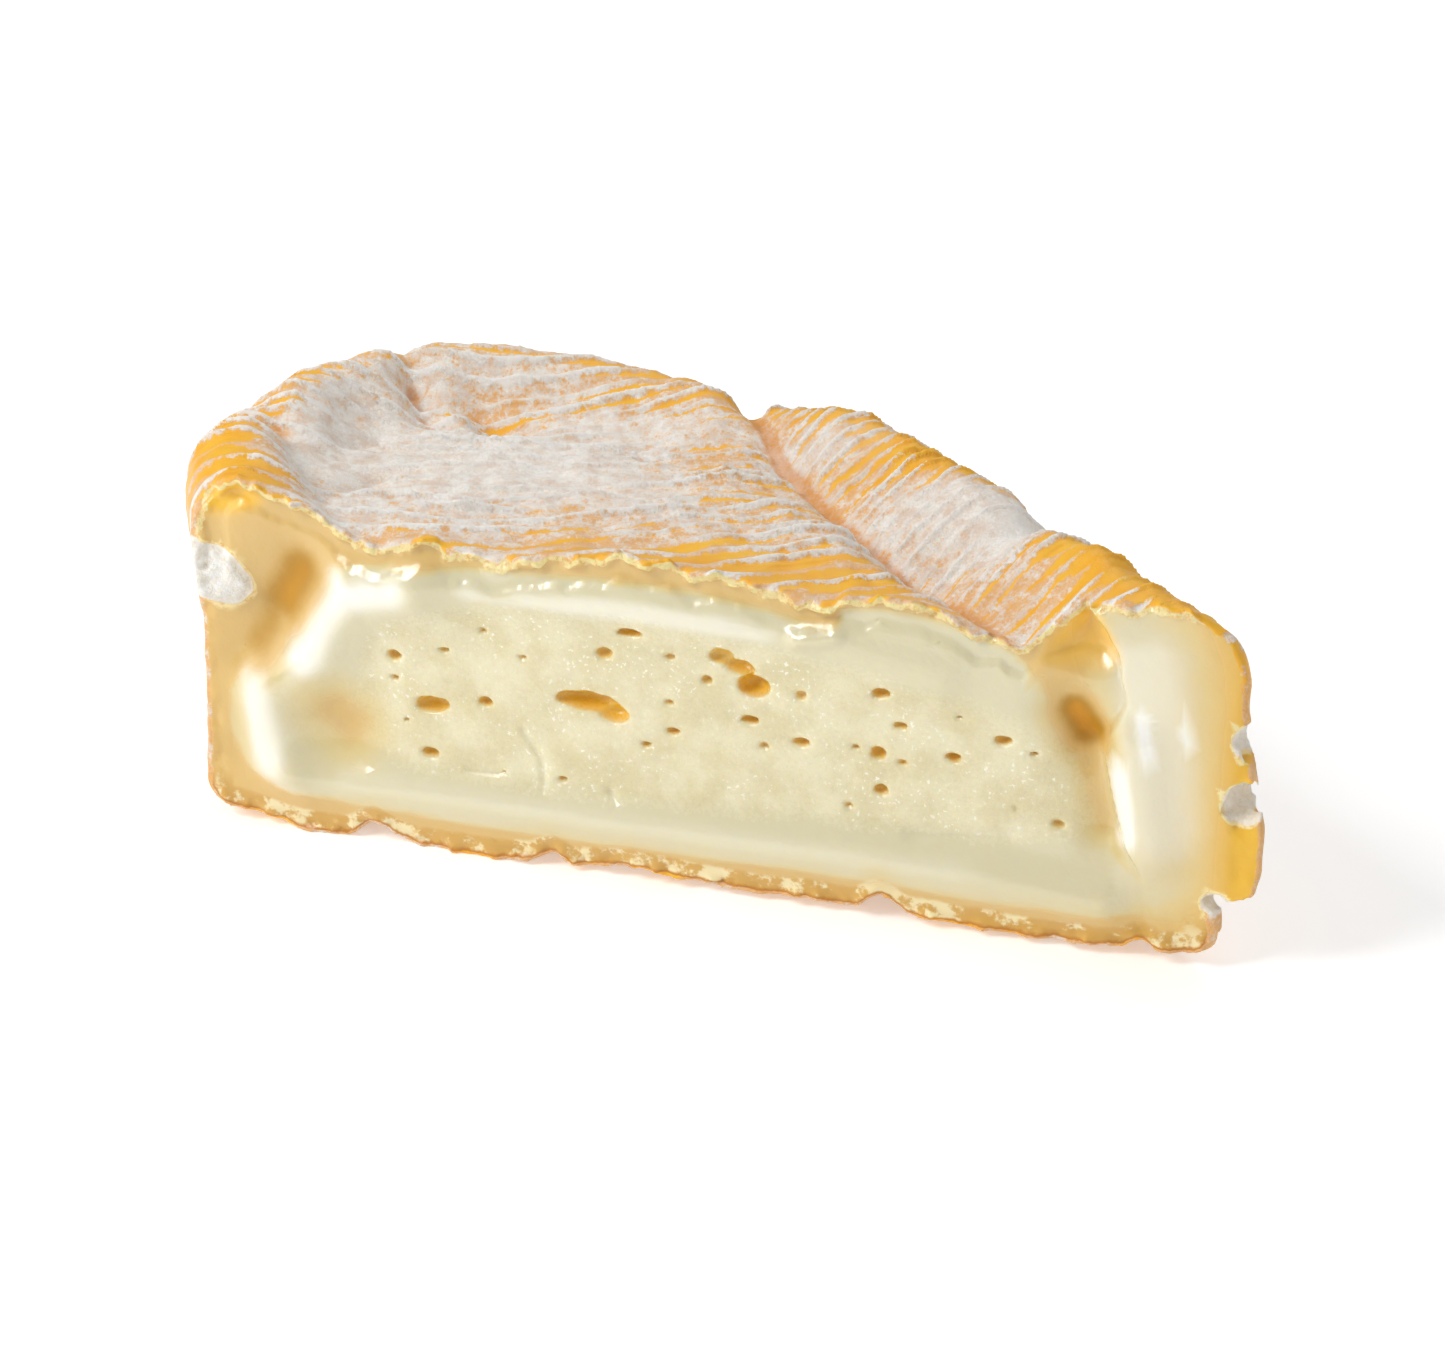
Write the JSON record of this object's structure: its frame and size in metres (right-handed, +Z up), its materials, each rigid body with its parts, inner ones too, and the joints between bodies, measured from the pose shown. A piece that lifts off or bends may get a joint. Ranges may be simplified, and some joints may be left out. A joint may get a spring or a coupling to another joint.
{
  "type": "cheese wedge",
  "caption": "Half of a small, soft, ripened cheese, cut upright through the middle, with a slumped and folded ribbed rind and a creamy paste with eyes.",
  "frame": {"origin": "under the middle of the bounding box, on the surface that the cheese stands on", "axes": "+X along the cut, to the right as seen from in front of it; +Y away from the cut, into the cheese; +Z up"},
  "size_m": [0.125, 0.06, 0.0421],
  "materials": {
    "cheese": "moist ivory paste inside, matte white mould over an orange-yellow rind outside"
  },
  "bodies": {
    "root": {"cheese_wedge": "cheese"}
  },
  "joints": []
}
